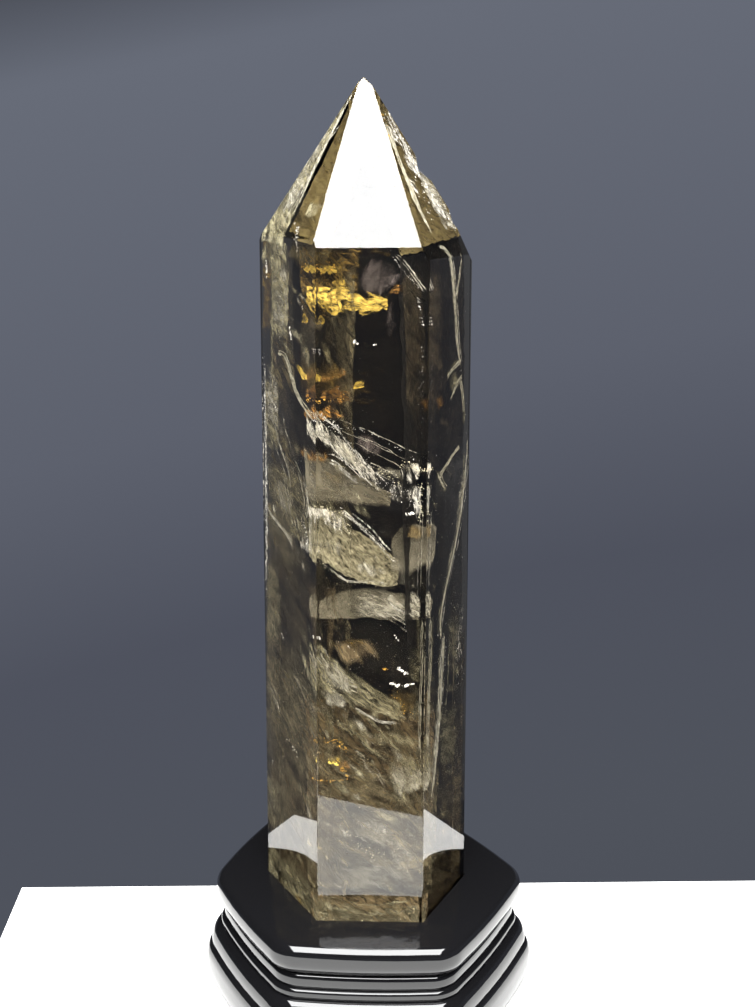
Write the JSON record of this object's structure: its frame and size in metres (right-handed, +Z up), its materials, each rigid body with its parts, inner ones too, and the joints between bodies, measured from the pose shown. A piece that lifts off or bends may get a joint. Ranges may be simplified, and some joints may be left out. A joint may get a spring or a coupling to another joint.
{
  "type": "polished quartz crystal point on a lacquered wooden stand",
  "caption": "Polished hexagonal quartz crystal point, smoky citrine, standing upright in a moulded black-lacquered hexagonal display stand.",
  "frame": {"origin": "middle of the stand's flat underside, on the surface it stands on", "axes": "+Z up along the crystal, -Y towards the front side, +X to the right seen from the front"},
  "size_m": [0.1015, 0.0939, 0.2733],
  "materials": {
    "crystal": "polished, clear, smoky olive brown with pale veils",
    "lacquer": "black gloss lacquer on carved wood"
  },
  "bodies": {
    "root": {"crystal_point": "crystal", "display_stand": "lacquer"}
  },
  "joints": []
}
